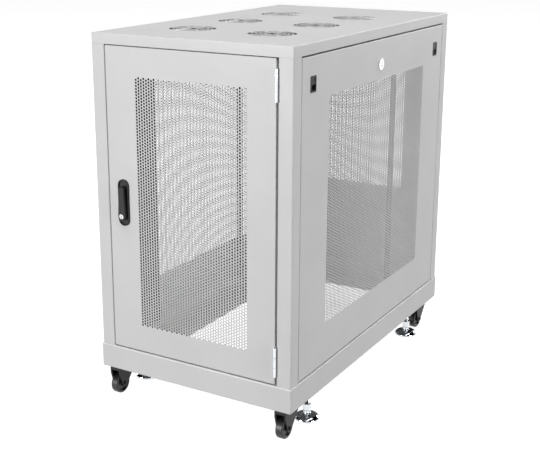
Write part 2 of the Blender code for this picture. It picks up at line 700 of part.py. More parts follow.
def side_panel(name, side):
    """A lift-off side panel with its cam lock and two slide latches."""
    half = DEPTH / 2 - POST_SIDE - PANEL_END_GAP
    low, high = BASE_TOP + PANEL_BOTTOM_GAP, CAP_BOTTOM - PANEL_TOP_GAP
    sheet = tray("side_panel_" + name, side, -half, half, low, high, PANEL_FOLD, (0, low, 0))
    cam_lock(f"side_lock_{name}", side, sheet, 0, "up")
    out = 1 if name == "left" else -1
    slide_latch(f"side_latch_{name}_front", side, sheet, out * LATCH_FROM_MIDDLE)
    slide_latch(f"side_latch_{name}_rear", side, sheet, -out * LATCH_FROM_MIDDLE)


# Casters and feet


def caster(name, x, y):
    """A swivel caster: top plate with kingpin, hooded fork with its axle, and wheel ahead of the pin."""
    plate_high = FLOOR_GAP - FIT
    plate_low = plate_high - CASTER_PLATE_THICKNESS
    half = CASTER_PLATE / 2
    plate = block((x - half, y - half, plate_low), (x + half, y + half, plate_high))
    top = piece(f"caster_{name}_plate", plate, CHROME)
    fork_high = plate_low - FORK_PLATE_GAP
    slab_low = fork_high - FORK_SLAB
    head_low = slab_low - CASTER_PLATE_THICKNESS
    combine(top, rod((x, y, head_low), (x, y, plate_high - FIT), KINGPIN_RADIUS), "UNION")
    head = rod((x, y, head_low), (x, y, slab_low - FORK_PLATE_GAP), KINGPIN_HEAD)
    combine(top, head, "UNION")

    axle_y = y - WHEEL_TRAIL
    axle = (axle_y, WHEEL_RADIUS)
    shoulder = (y + FORK_BACK, slab_low)
    nose = (y - FORK_FRONT, slab_low - FORK_SLAB)
    start = tangent(axle, shoulder, -1)
    end = tangent(axle, nose, 1) - 2 * math.pi
    outline = [(y + FORK_BACK, fork_high), shoulder]
    outline += arc(axle, FORK_EAR, start, end, 6)
    outline += [nose, (y - FORK_FRONT, fork_high)]
    wide, slot = FORK_WIDTH / 2, FORK_SLOT / 2
    body = prism(outline, x - wide, x + wide, "X")
    fork = piece(f"caster_{name}_fork", body, BLACK_PLASTIC, origin=(x, y, 0))
    front, back = y - FORK_FRONT - OVERSHOOT, y + FORK_BACK + OVERSHOOT
    combine(fork, block((x - slot, front, 0), (x + slot, back, slab_low)), "DIFFERENCE")
    bore = rod((x, y, slab_low - OVERSHOOT), (x, y, fork_high + OVERSHOOT), KINGPIN_RADIUS + RUNNING)
    combine(fork, bore, "DIFFERENCE")
    ends = ((x - wide + FIT, *axle), (x + wide - FIT, *axle))
    combine(fork, rod(*ends, AXLE_RADIUS), "UNION")

    wheel(f"caster_{name}_wheel", (x, axle_y, WHEEL_RADIUS))


def tangent(centre, point, way):
    """Angle at which a line from a point touches the round ear of a fork."""
    away = Vector(point) - Vector(centre)
    return math.atan2(away.y, away.x) + way * math.acos(FORK_EAR / away.length)


def wheel(name, place):
    """A wheel with a rounded tread, a dished web and a hub, on a level axle."""
    tread, hub, web = WHEEL_WIDTH / 2, HUB_WIDTH / 2, WHEEL_WEB / 2
    rim, boss = WHEEL_RADIUS - WHEEL_RIM, AXLE_RADIUS + HUB_WALL
    bore = AXLE_RADIUS + RUNNING
    profile = [
        (bore, hub),
        (boss, hub),
        (boss, web),
        (rim, web),
        (rim, tread),
        (WHEEL_RADIUS - TREAD_CHAMFER, tread),
        (WHEEL_RADIUS, tread - TREAD_CHAMFER),
    ]
    lower = [(radius, -height) for radius, height in reversed(profile)]
    turned(name, profile + lower, TYRE, None, place, (0, math.pi / 2, 0), ring=True)


def foot(name, x, y):
    """A levelling foot: a domed disc, a neck, a hexagon for the spanner and a stem up into the base."""
    stem_top = FLOOR_GAP + STEM_ABOVE_BASE
    profile = [
        (0, stem_top),
        (STEM_RADIUS - STEM_CHAMFER, stem_top),
        (STEM_RADIUS, stem_top - STEM_CHAMFER),
        (STEM_RADIUS, FOOT_HEX_LOW),
        (FOOT_NECK, FOOT_HEX_LOW),
        (FOOT_NECK, FOOT_DISC + STEM_CHAMFER),
    ]
    profile += [(FOOT_RADIUS * out, FOOT_DISC * up) for out, up in FOOT_DOME]
    profile += [(FOOT_RADIUS, 0), (0, 0)]
    made = turned(f"levelling_foot_{name}", profile, CHROME, None, (x, y, 0))
    radius = FOOT_HEX_FLATS / 2 / math.cos(math.pi / 6)
    combine(made, rod((x, y, FOOT_HEX_LOW), (x, y, FOOT_HEX_HIGH), radius, 6), "UNION")


def build():
    half_x, half_y = WIDTH / 2, DEPTH / 2
    front = side_frame("front_side", (0, -half_y, 0), (0, -1, 0))
    rear = side_frame("rear_side", (0, half_y, 0), (0, 1, 0))
    left = side_frame("left_side", (-half_x, 0, 0), (-1, 0, 0))
    right = side_frame("right_side", (half_x, 0, 0), (1, 0, 0))

    base_frame()
    posts()
    top_frame()
    top_cover()
    for side in (-1, 1):
        front_rail(side)
        rear_rail(side)

    front_door = door("front_door", front)
    rear_door = door("rear_door", rear)
    for prefix, side, loose_pin in (("front", front, True), ("rear", rear, False)):
        hinge(f"{prefix}_hinge_lower", side, DOOR_LOW + HINGE_EDGE, loose_pin)
        hinge(f"{prefix}_hinge_upper", side, DOOR_HIGH - HINGE_EDGE - HINGE_HEIGHT, loose_pin)
    handle(front, front_door)
    rear_edge = -half_x + POST_FACE + LATCH_GAP
    cam_lock("rear_lock", rear, rear_door, rear_edge + REAR_LOCK_FROM_EDGE, "left")
    side_panel("left", left)
    side_panel("right", right)

    for name, (x, y) in zip(PLACES, corners(CASTER_FROM_END)):
        caster(name, x, y)
    for name, (x, y) in zip(PLACES, corners(FOOT_FROM_END)):
        foot(name, x, y)


build()
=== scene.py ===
"""Finished looks for a server rack cabinet: punched doors and panels, fan grilles, hardware, paint and plate.

Metres, +Z up. Pieces on a vertical side are shaped in that side's own frame, x to the right, y up and z
out, as somebody who faces the side sees it, and then get their place in their mesh.
"""

import json
import math

import bmesh
import bpy
from mathutils import Matrix, Vector

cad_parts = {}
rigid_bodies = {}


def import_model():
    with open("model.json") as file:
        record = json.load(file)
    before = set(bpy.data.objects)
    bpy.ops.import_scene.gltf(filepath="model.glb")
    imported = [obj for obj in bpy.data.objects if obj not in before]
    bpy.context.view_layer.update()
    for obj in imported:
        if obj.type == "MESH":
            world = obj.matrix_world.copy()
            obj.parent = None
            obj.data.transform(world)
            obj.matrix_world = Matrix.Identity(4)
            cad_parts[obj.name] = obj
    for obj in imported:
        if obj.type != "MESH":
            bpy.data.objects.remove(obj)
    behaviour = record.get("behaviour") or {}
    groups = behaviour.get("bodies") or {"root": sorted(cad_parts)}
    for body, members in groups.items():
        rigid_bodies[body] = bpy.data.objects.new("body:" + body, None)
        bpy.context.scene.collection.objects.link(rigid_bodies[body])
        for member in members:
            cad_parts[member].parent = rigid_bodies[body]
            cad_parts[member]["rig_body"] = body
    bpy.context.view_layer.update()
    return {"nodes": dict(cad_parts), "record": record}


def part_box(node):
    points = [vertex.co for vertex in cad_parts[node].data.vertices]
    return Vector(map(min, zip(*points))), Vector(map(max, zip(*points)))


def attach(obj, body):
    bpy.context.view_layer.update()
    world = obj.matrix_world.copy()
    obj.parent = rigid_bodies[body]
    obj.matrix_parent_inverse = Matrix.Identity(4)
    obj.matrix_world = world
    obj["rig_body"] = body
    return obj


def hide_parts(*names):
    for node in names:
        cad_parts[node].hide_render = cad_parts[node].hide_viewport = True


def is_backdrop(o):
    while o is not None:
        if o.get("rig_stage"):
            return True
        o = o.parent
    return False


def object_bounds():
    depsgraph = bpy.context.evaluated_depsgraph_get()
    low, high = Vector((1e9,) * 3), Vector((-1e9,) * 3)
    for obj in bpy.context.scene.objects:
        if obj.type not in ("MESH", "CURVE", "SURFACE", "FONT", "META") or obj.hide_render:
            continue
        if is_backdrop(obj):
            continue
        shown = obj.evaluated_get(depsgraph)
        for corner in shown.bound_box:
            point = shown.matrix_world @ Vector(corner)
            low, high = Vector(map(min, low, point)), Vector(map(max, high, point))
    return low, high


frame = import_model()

MM = 0.001

# Sheet steel
SHEET = 1.5 * MM
FIELD_SHEET = 0.9 * MM  # the punched fields
FINE = 0.01 * MM  # points nearer than this are one point
PAST = 5 * MM  # how far a cutter runs past what it cuts
SHARP = math.radians(35)  # edges that turn more than this are shaded as edges
FLAT = math.radians(0.5)  # faces that turn less than this are one face

# Punched fields: round holes in columns, each column half a pitch above the one before
PITCH = 8 * MM
HOLE_RADIUS = 3.2 * MM
HOLE_SIDES = 10
FRONT_FIELD = dict(columns=42, rows=85, middle=4.7 * MM, low=232.5 * MM)
SIDE_FIELD = dict(columns=78, rows=76, middle=0.0, low=270.5 * MM)
REAR_FIELD = dict(columns=42, rows=59, middle=0.0, low=440.0 * MM)

# Fan grilles in the cover
GRILLE_HUB = 10 * MM
GRILLE_SLOT = 8.8 * MM
GRILLE_RING = 2.4 * MM
GRILLE_SLOTS = 5
GRILLE_SHEET = 0.8 * MM  # the ribs are pressed thinner than the sheet
GRILLE_RADIUS = GRILLE_HUB + GRILLE_SLOTS * (GRILLE_SLOT + GRILLE_RING)
GRILLE_STEPS = 72
GRILLE_SPOKES = 8
FAN_SCREWS = 105 * MM  # side of the square of screw holes
SCREW_HOLE = 4.5 * MM
SCREW_HOLE_SIDES = 16
FAN_X = 122.5 * MM
FAN_Y = (-290 * MM, -45 * MM, 200 * MM)

# Mounting rails
RACK_UNIT = 44.45 * MM
RACK_UNITS = 18
HOLE_STEPS = (6.35 * MM, 22.225 * MM, 38.1 * MM)
SQUARE_HOLE = 9.5 * MM

# Swing handle
DISH_SEAT = 0.3 * MM  # the gap between the dish and the door's face
DISH_WALL = 3 * MM
DISH_FLOOR = 1.3 * MM
DISH_RIM = 1.0 * MM  # rounding of the rim
LEVER_TAPER = 0.72  # width of the upper end as a share of the lower end's
LEVER_FRONT = 2.5 * MM  # rounding of the front edges
LEVER_BACK = 0.6 * MM
SPINDLE_SLOT = (6.6 * MM, 12 * MM, 7.8 * MM)  # width, height and depth in the lever's back
PLUG_GAP = 0.3 * MM

# Lock plug of the swing handle
PLUG_LIP = 0.5 * MM
KEYWAY = (1.6 * MM, 8 * MM)
KEYWAY_MIDDLE = (2.8 * MM, 3 * MM)
KEYWAY_DEPTH = 3 * MM

# Cam locks, as radii
LOCK_BODY = 9.5 * MM
LOCK_BORE = 6.8 * MM
LOCK_SEAT = 0.3 * MM  # height of the flange's underside above the panel's face
LOCK_EDGE = 1.1 * MM  # rounding of the flange
LOCK_MOUTH = 0.4 * MM  # chamfer of the bore
LOCK_END = 0.5 * MM  # chamfer of the barrel's inner end
LOCK_NUT = 25 * MM  # across the flats
LOCK_NUT_NEAR = 0.2 * MM  # from the panel's back to the nut
LOCK_NUT_FAR = 5 * MM
LOCK_NUT_FIT = 0.1 * MM
LOCK_NUT_EDGE = 0.4 * MM

# Slide latches
LATCH_PAD = 18 * MM
GROOVE = 1.2 * MM
GROOVE_LENGTH = 16 * MM
GROOVE_PITCH = 4.5 * MM

# Levelling feet: radii, and heights above the floor
FOOT_CHAMFER = 0.8 * MM
FOOT_EDGE = 3 * MM  # height of the disc's straight edge
FOOT_SHOULDER = 11 * MM  # radius that the dome draws in to
FOOT_DOME = 12.5 * MM  # rise of the dome
DOME_SWEEP = 78  # degrees
DOME_STEPS = 13
FOOT_NECK = 9 * MM
FOOT_NUT = 20 * MM  # across the flats
FOOT_NUT_LOW = 26.2 * MM
FOOT_NUT_HIGH = 44 * MM
FOOT_NUT_EDGE = 0.9 * MM
THREAD_CREST = 6 * MM
THREAD_ROOT = 5.1 * MM
THREAD_TURN = 1.75 * MM
THREAD_LOW = 27 * MM
THREAD_RUN_OUT = 28 * MM  # the turns are counted from here up
STEM_TIP = 0.6 * MM

# Casters
TREAD = 11 * MM  # half the tread's width
TREAD_EDGE = 4 * MM  # rounding of the tread
WEB = 6 * MM  # half the web's thickness
RIM_DEPTH = 7 * MM
BOSS = 9 * MM  # radius of the hub's boss
BOSS_EDGE = 0.8 * MM
AXLE_BORE = 4.3 * MM
BORE_EDGE = 0.5 * MM
AXLE_NUT = 10 * MM  # across the flats
AXLE_NUT_NEAR = 0.1 * MM  # from the fork's ear to the nut
AXLE_NUT_FAR = 3.2 * MM
AXLE_NUT_EDGE = 0.5 * MM
AXLE_RADIUS = 2.6 * MM
AXLE_NEAR = 0.5 * MM
AXLE_FAR = 4.4 * MM
AXLE_EDGE = 0.3 * MM

# Rounding of the edges of plainer pieces
FORK_EDGE = 1.0 * MM
PLATE_EDGE = 0.5 * MM
LEAF_EDGE = 0.35 * MM
PIN_EDGE = 0.3 * MM
CAM_EDGE = 0.35 * MM
BEZEL_EDGE = 0.35 * MM
SLIDER_EDGE = 0.3 * MM

# Noise in the finishes: the part of its range in which most of its values lie
DRIFT_RANGE = (0.35, 0.65)
SPECKLE_RANGE = (0.3, 0.7)

# Studio: each soft box's name, azimuth, elevation, size and level
SOFT_BOX_DISTANCE = 8.0
SOFT_BOXES = (
    ("front_key", -20, 7, 3.0, 0.78),
    ("side_key", 80, 7, 3.0, 0.48),
    ("top_key", 0, 88, 7.0, 1.17),
    ("corner_fill", 32, 45, 3.0, 0.12),
    ("rear_fill", 165, 14, 3.0, 0.45),
    ("left_fill", -100, 14, 3.0, 0.35),
)
TABLE_SIZE = 30.0
TABLE_GLOW = 0.95
ROOM_GLOW = 1.0

# Camera
EYE = (1.451, -2.622, 1.315)
EYE_DOWN = 15.51  # degrees below the level
EYE_TURN = 30.80  # degrees from straight ahead
FILM_WIDTH = 36
LENS = 69.33
SHIFT = (0.0340, -0.04)


# Shapes


def block(low, high):
    """A box between two corners."""
    bm = bmesh.new()
    low, high = Vector(low), Vector(high)
    bmesh.ops.create_cube(bm, size=1.0)
    bmesh.ops.scale(bm, vec=high - low, verts=bm.verts)
    bmesh.ops.translate(bm, vec=(low + high) / 2, verts=bm.verts)
    return bm


def upright(size, y, low, high):
    """A box of a width and a height, centred on x and at y, from one depth to another."""
    half_width, half_height = size[0] / 2, size[1] / 2
    return block((-half_width, y - half_height, low), (half_width, y + half_height, high))


def full_turn(bm, profile, steps, ring=False):
    """Spins a chain of (radius, height) points round z, and a ring closes on itself."""
    points = [bm.verts.new((radius, 0, height)) for radius, height in profile]
    pairs = list(zip(points, points[1:]))
    if ring:
        pairs.append((points[-1], points[0]))
    edges = [bm.edges.new(pair) for pair in pairs]
    bmesh.ops.spin(
        bm,
        geom=points + edges,
        cent=(0, 0, 0),
        axis=(0, 0, 1),
        angle=math.tau,
        steps=steps,
        use_merge=True,
    )


def lathe(profile, steps=48, ring=False):
    """A closed turned shape: a ring profile closes on itself, and any other ends on the axis."""
    bm = bmesh.new()
    full_turn(bm, profile, steps, ring)
    bmesh.ops.remove_doubles(bm, verts=bm.verts, dist=FINE)
    bmesh.ops.recalc_face_normals(bm, faces=bm.faces)
    return bm


def arc(centre, radius, start, end, steps):
    """Points on an arc, angles in degrees."""
    angles = [math.radians(start + (end - start) * i / steps) for i in range(steps + 1)]
    return [(centre[0] + radius * math.cos(a), centre[1] + radius * math.sin(a)) for a in angles]


def stadium(low_radius, high_radius, low, high, steps=20):
    """An upright outline with a round end at each height, which may taper."""
    lean = math.degrees(math.asin((low_radius - high_radius) / (high - low)))
    upper = arc((0, high), high_radius, lean, 180 - lean, steps)
    lower = arc((0, low), low_radius, 180 - lean, 360 + lean, steps)
    return upper + lower


def prism(outline, low, high):
    """A flat outline raised from one height to another."""
    bm = bmesh.new()
    face = bm.faces.new([bm.verts.new((x, y, low)) for x, y in outline])
    raised = bmesh.ops.extrude_face_region(bm, geom=[face])["geom"]
    upper = [e for e in raised if isinstance(e, bmesh.types.BMVert)]
    bmesh.ops.translate(bm, vec=(0, 0, high - low), verts=upper)
    bmesh.ops.recalc_face_normals(bm, faces=bm.faces)
    return bm


def cylinder(radius, sides, low, high, x=0.0, y=0.0):
    """An upright cylinder between two heights, with flat faces."""
    bm = bmesh.new()
    bmesh.ops.create_cone(
        bm,
        cap_ends=True,
        segments=sides,
        radius1=radius,
        radius2=radius,
        depth=high - low,
        matrix=Matrix.Translation((x, y, (low + high) / 2)),
    )
    return bm


def hexagon(flats_apart, low, high):
    """A hexagonal block."""
    return cylinder(flats_apart / 2 / math.cos(math.pi / 6), 6, low, high)


def rod(radius, low, high, sides=48):
    """A turned rod."""
    return lathe([(0, high), (radius, high), (radius, low), (0, low)], sides)


def ease(bm, width, segments=2, sharper=40, chosen=None):
    """Rounds every edge that turns more than an angle in degrees, or only the chosen ones."""
    if chosen is None:
        limit = math.radians(sharper)
        chosen = [e for e in bm.edges if len(e.link_faces) == 2 and e.calc_face_angle() > limit]
    bmesh.ops.bevel(
        bm,
        geom=chosen,
        offset=width,
        offset_type="OFFSET",
        affect="EDGES",
        segments=segments,
        profile=0.5,
        clamp_overlap=True,
        material=-1,
    )
    return bm


def joined(*parts):
    """Several shapes in one mesh."""
    whole = bmesh.new()
    for part in parts:
        mesh = bpy.data.meshes.new("part")
        part.to_mesh(mesh)
        part.free()
        whole.from_mesh(mesh)
        bpy.data.meshes.remove(mesh)
    return whole


def moved(bm, *steps):
    """The shape after one or more matrices, the first one first."""
    for step in steps:
        bmesh.ops.transform(bm, matrix=step, verts=bm.verts)
    return bm


def faced_up(bm):
    """The flat shape with every face turned to +z."""
    for face in bm.faces:
        if face.normal.z < 0:
            face.normal_flip()
    return bm


def bench(bm):
    """A hidden object for a modifier to work on."""
    mesh = bpy.data.meshes.new("bench")
    bm.to_mesh(mesh)
    bm.free()
    obj = bpy.data.objects.new("bench", mesh)
    bpy.context.scene.collection.objects.link(obj)
    obj.hide_render = True
    return obj


def cut(bm, *tools):
    """A closed shape with others cut from it."""
    work = bench(bm)
    helpers = [bench(tool) for tool in tools]
    for helper in helpers:
        step = work.modifiers.new("step", "BOOLEAN")
        step.operation = "DIFFERENCE"
        step.solver = "EXACT"
        step.object = helper
    result = bmesh.new()
    result.from_object(work, bpy.context.evaluated_depsgraph_get())
    for obj in [work, *helpers]:
        mesh = obj.data
        bpy.data.objects.remove(obj)
        bpy.data.meshes.remove(mesh)
    return result


def cad_copy(node):
    """A CAD node's mesh, welded."""
    bm = bmesh.new()
    bm.from_mesh(frame["nodes"][node].data)
    bmesh.ops.remove_doubles(bm, verts=bm.verts, dist=FINE)
    return bm


def flats(bm):
    """Joins triangles that lie in one plane."""
    bmesh.ops.dissolve_limit(bm, angle_limit=FLAT, verts=bm.verts, edges=bm.edges)
    return bm


# Pieces


def body_of(node):
    """The body that a CAD node rides on."""
    return frame["nodes"][node]["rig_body"]


def piece(name, bm, slot, body, *stands_for):
    """Makes a shape a finished piece of the cabinet."""
    mesh = bpy.data.meshes.new(name)
    bm.to_mesh(mesh)
    bm.free()
    for attribute in [a for a in mesh.attributes if a.name == "custom_normal"]:
        mesh.attributes.remove(attribute)
    mesh.shade_smooth()
    mesh.set_sharp_from_angle(angle=SHARP)
    mesh.materials.clear()
    mesh.materials.append(FINISHES[slot])
    obj = bpy.data.objects.new(name, mesh)
    bpy.context.scene.collection.objects.link(obj)
    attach(obj, body)
    if stands_for:
        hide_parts(*stands_for)
    return obj


def even_piece(name, bm, slot, body, *stands_for):
    """A piece whose large flat faces keep a flat shading beside their rounded folds."""
    weighted = piece(name, bm, slot, body, *stands_for).modifiers.new("even", "WEIGHTED_NORMAL")
    weighted.keep_sharp = True


def instead_of(node, bm, slot, ending="finished"):
    """Puts a shape in the place of a CAD node, on the same body."""
    even_piece(f"{node}_{ending}", bm, slot, body_of(node), node)


def give_wall(obj, thickness):
    """Gives an open sheet its thickness, behind its face."""
    wall = obj.modifiers.new("sheet", "SOLIDIFY")
    wall.thickness = thickness
    wall.offset = -1


def side_frame(normal, distance):
    """The frame of a vertical side: x to the right, y up and z out, on the floor under its face."""
    up, out = Vector((0, 0, 1)), Vector(normal)
    turn = Matrix((up.cross(out), up, out)).transposed().to_4x4()
    return Matrix.Translation(out * distance) @ turn


def box_on(side, node):
    """A node's lowest and highest corners in the frame of a side."""
    corners = [side.inverted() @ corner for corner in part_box(node)]
    return Vector(map(min, *corners)), Vector(map(max, *corners))


FRONT = side_frame((0, -1, 0), -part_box("front_door")[0].y)
REAR = side_frame((0, 1, 0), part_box("rear_door")[1].y)
LEFT = side_frame((-1, 0, 0), -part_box("side_panel_left")[0].x)
RIGHT = side_frame((1, 0, 0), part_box("side_panel_right")[1].x)


# Materials


def linear(colour):
    """An sRGB hex colour as linear red, green, blue and alpha."""
    values = [int(colour[i : i + 2], 16) / 255 for i in (1, 3, 5)]
    return [v / 12.92 if v <= 0.04045 else ((v + 0.055) / 1.055) ** 2.4 for v in values] + [1.0]


def add(tree, kind, sockets=None, **settings):
    """Adds a node, with its settings, and its inputs as values or as links from other nodes' outputs."""
    made = tree.nodes.new(kind)
    for name, value in settings.items():
        setattr(made, name, value)
    for name, value in (sockets or {}).items():
        if isinstance(value, bpy.types.NodeSocket):
            tree.links.new(value, made.inputs[name])
        else:
            made.inputs[name].default_value = value
    return made


def per_metre(size):
    """The scale of a noise whose blotches are about this size."""
    return 1 / size


def finish(name, light, dark, blotch, rough, grain, grain_height, metallic=0.0, **extra):
    """A surface whose colour drifts between two tones over blotches, with a fine grain in its height.

    rough is the lowest and the highest roughness; blotch and grain are sizes, and grain_height a depth.
    """
    made = bpy.data.materials.new(name)
    made.use_nodes = True
    tree = made.node_tree
    shader = tree.nodes["Principled BSDF"]
    place = add(tree, "ShaderNodeTexCoord").outputs["Object"]
    drift = add(
        tree,
        "ShaderNodeTexNoise",
        {"Vector": place, "Scale": per_metre(blotch), "Detail": 3.0, "Roughness": 0.55},
    )
    tone = add(tree, "ShaderNodeValToRGB", {"Fac": drift.outputs["Fac"]})
    for stop, place_on_ramp, colour in zip(tone.color_ramp.elements, DRIFT_RANGE, (dark, light)):
        stop.position = place_on_ramp
        stop.color = linear(colour)
    tree.links.new(tone.outputs["Color"], shader.inputs["Base Color"])
    speckle = add(
        tree,
        "ShaderNodeTexNoise",
        {"Vector": place, "Scale": per_metre(grain), "Detail": 2.0, "Roughness": 0.5},
    )
    gloss = add(
        tree,
        "ShaderNodeMapRange",
        {
            "Value": speckle.outputs["Fac"],
            "From Min": SPECKLE_RANGE[0],
            "From Max": SPECKLE_RANGE[1],
            "To Min": rough[0],
            "To Max": rough[1],
        },
    )
    tree.links.new(gloss.outputs["Result"], shader.inputs["Roughness"])
    bump = add(
        tree,
        "ShaderNodeBump",
        {"Height": speckle.outputs["Fac"], "Distance": grain_height, "Strength": 1.0},
    )
    tree.links.new(bump.outputs["Normal"], shader.inputs["Normal"])
    shader.inputs["Metallic"].default_value = metallic
    for name, value in extra.items():
        shader.inputs[name.replace("_", " ")].default_value = value
    return made


FINISHES = {
    # Light grey epoxy-polyester powder coat, sprayed and baked: an even satin with a fine orange peel.
    "grey_paint": finish(
        "light_grey_powder_coat", "#CACACA", "#C6C6C6", 180 * MM, (0.40, 0.50), 1.4 * MM, 0.02 * MM
    ),
    # Black powder coat with a fine texture: satin, so that only its edges catch the light.
    "black_paint": finish(
        "black_textured_powder_coat", "#161617", "#121213", 60 * MM, (0.45, 0.60), 0.9 * MM, 0.04 * MM
    ),
    # Glass-filled black nylon from a spark-eroded mould: dull, with a leathery grain.
    "black_plastic": finish(
        "moulded_black_nylon",
        "#161617",
        "#121213",
        25 * MM,
        (0.38, 0.52),
        0.7 * MM,
        0.03 * MM,
        Specular_IOR_Level=0.3,
    ),
    # Bright chrome over polished nickel: a mirror with the faintest haze.
    "chrome": finish(
        "bright_chrome_plate", "#DDE0E3", "#D3D6DA", 15 * MM, (0.06, 0.13), 2.5 * MM, 0.001 * MM, metallic=1.0
    ),
    # Blue-passivated zinc on pressed steel: grey, a little cloudy.
    "zinc_plate": finish(
        "blue_zinc_plate", "#C3C7CC", "#A9ADB3", 9 * MM, (0.28, 0.42), 1.1 * MM, 0.006 * MM, metallic=1.0
    ),
    # Black polyamide wheel, moulded: smoother and a little shinier than the fork.
    "wheel_nylon": finish(
        "moulded_black_wheel", "#1A1A1B", "#151516", 20 * MM, (0.34, 0.46), 1.2 * MM, 0.02 * MM
    ),
}


def paint_nodes():
    """Gives every CAD node the finish of its material slot."""
    slots = {row["node"]: row["material_slot"] for row in frame["record"]["subparts"]}
    for name, obj in frame["nodes"].items():
        obj.data.materials.clear()
        obj.data.materials.append(FINISHES[slots[name]])


# Punched sheets


def punched_field(name, side, body, columns, rows, middle, low, part=(0, 1)):
    """Part of a field of holes, as one sheet that lies flush in a window of the door or panel.

    The cells round one hole of each of two neighbouring columns are repeated up the sheet, and a plain half
    cell fills the end where a column is short. An array then repeats the two columns across.
    """
    count = columns // 2 // part[1]
    start = middle - columns * PITCH / 2 + part[0] * count * 2 * PITCH
    half = PITCH / 2
    square = [(-half, -half), (half, -half), (half, 0), (half, half), (-half, half), (-half, 0)]
    bm = bmesh.new()
    for x, y in ((half, half), (3 * half, PITCH)):
        corners = [bm.verts.new((x + u, y + v, 0)) for u, v in square]
        edges = [bm.edges.new(pair) for pair in zip(corners, corners[1:] + corners[:1])]
        hole = bmesh.ops.create_circle(
            bm,
            cap_ends=False,
            radius=HOLE_RADIUS,
            segments=HOLE_SIDES,
            matrix=Matrix.Translation((x, y, 0)),
        )["verts"]
        edges += {edge for vert in hole for edge in vert.link_edges}
        bmesh.ops.triangle_fill(bm, edges=edges, use_beauty=True, normal=(0, 0, 1))
    bmesh.ops.spin(
        bm,
        geom=bm.verts[:] + bm.edges[:] + bm.faces[:],
        cent=(0, 0, 0),
        axis=(0, 0, 1),
        dvec=(0, PITCH, 0),
        angle=0,
        steps=rows - 1,
        use_duplicate=True,
    )
    for x, y in ((3 * half, half / 2), (half, rows * PITCH + half / 2)):
        end = Matrix.Translation((x, y, 0)) @ Matrix.Diagonal((PITCH, half, 1, 1))
        bmesh.ops.create_grid(bm, x_segments=1, y_segments=1, size=0.5, matrix=end)
    bmesh.ops.remove_doubles(bm, verts=bm.verts, dist=FINE)
    moved(faced_up(bm), Matrix.Translation((start, low, 0)), side)
    obj = piece(name, bm, "grey_paint", body)
    across = obj.modifiers.new("columns", "ARRAY")
    across.count = count
    across.use_relative_offset = False
    across.use_constant_offset = True
    across.constant_offset_displace = side.to_3x3() @ Vector((2 * PITCH, 0, 0))
    across.use_merge_vertices = True
    across.merge_threshold = FINE
    give_wall(obj, FIELD_SHEET)
    obj.data.shade_flat()


def punched_sheet(node, side, field, parts=1):
    """A door or panel with a window in its face, and the punched field that fills it."""
    width = field["columns"] * PITCH / 2
    height = field["rows"] * PITCH + PITCH / 2
    low = (field["middle"] - width, field["low"], -PAST)
    high = (field["middle"] + width, field["low"] + height, PAST)
    window = moved(block(low, high), side)
    instead_of(node, cut(cad_copy(node), window), "grey_paint", "sheet")
    for part in range(parts):
        name = f"{node}_holes_{part + 1}" if parts > 1 else f"{node}_holes"
        punched_field(name, side, body_of(node), part=(part, parts), **field)


def is_slot(point, radii):
    """Whether a cell of the grille is open: every other ring of cells, apart from the spokes."""
    ring = max(i for i, radius in enumerate(radii) if radius < point.length)
    step = math.degrees(math.atan2(point.y, point.x)) % (360 / GRILLE_SPOKES)
    return ring % 2 == 0 and step > 360 / GRILLE_STEPS


def grille(x, y, top):
    """A round grille: rings of slots between spokes, round a plain hub."""
    radii = [GRILLE_HUB]
    for _ in range(GRILLE_SLOTS):
        radii += [radii[-1] + GRILLE_SLOT, radii[-1] + GRILLE_SLOT + GRILLE_RING]
    bm = bmesh.new()
    full_turn(bm, [(radius, 0) for radius in radii], GRILLE_STEPS)
    slots = [face for face in bm.faces if is_slot(face.calc_center_median(), radii)]
    bmesh.ops.delete(bm, geom=slots, context="FACES")
    hub = [e for e in bm.edges if e.is_boundary and max(v.co.length for v in e.verts) < GRILLE_HUB + FINE]
    bmesh.ops.contextual_create(bm, geom=hub)
    return moved(faced_up(bm), Matrix.Translation((x, y, top)))


def drill(x, y, radius, sides, top):
    """A cutter for a round hole down through the cover."""
    middle = top - SHEET / 2
    return cylinder(radius, sides, middle - PAST, middle + PAST, x, y)


def cover():
    """The cover with its six grilles and their screw holes."""
    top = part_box("top_cover")[1].z
    half = FAN_SCREWS / 2
    fans = [(x, y) for x in (-FAN_X, FAN_X) for y in FAN_Y]
    screws = [(x + i * half, y + j * half) for x, y in fans for i in (-1, 1) for j in (-1, 1)]
    cutters = [drill(x, y, GRILLE_RADIUS, GRILLE_STEPS, top) for x, y in fans]
    cutters += [drill(x, y, SCREW_HOLE / 2, SCREW_HOLE_SIDES, top) for x, y in screws]
    instead_of("top_cover", cut(cad_copy("top_cover"), joined(*cutters)), "grey_paint", "sheet")
    grilles = joined(*[grille(x, y, top) for x, y in fans])
    give_wall(piece("fan_grilles", grilles, "grey_paint", body_of("top_cover")), GRILLE_SHEET)


def rear_rails():
    """The rear mounting rails with their square holes."""
    for name in ("mounting_rail_rear_left", "mounting_rail_rear_right"):
        low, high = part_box(name)
        first = (low.z + high.z - RACK_UNITS * RACK_UNIT) / 2
        x, y, half = (low.x + high.x) / 2, (low.y + high.y) / 2, SQUARE_HOLE / 2
        reach = high.x - low.x
        holes = []
        for unit in range(RACK_UNITS):
            for step in HOLE_STEPS:
                z = first + unit * RACK_UNIT + step
                holes.append(block((x - reach, y - half, z - half), (x + reach, y + half, z + half)))
        instead_of(name, cut(cad_copy(name), joined(*holes)), "black_paint", "punched")


# Hardware


def eased(node, slot, width, segments=2):
    """A CAD node with its edges rounded."""
    instead_of(node, ease(flats(cad_copy(node)), width, segments), slot)


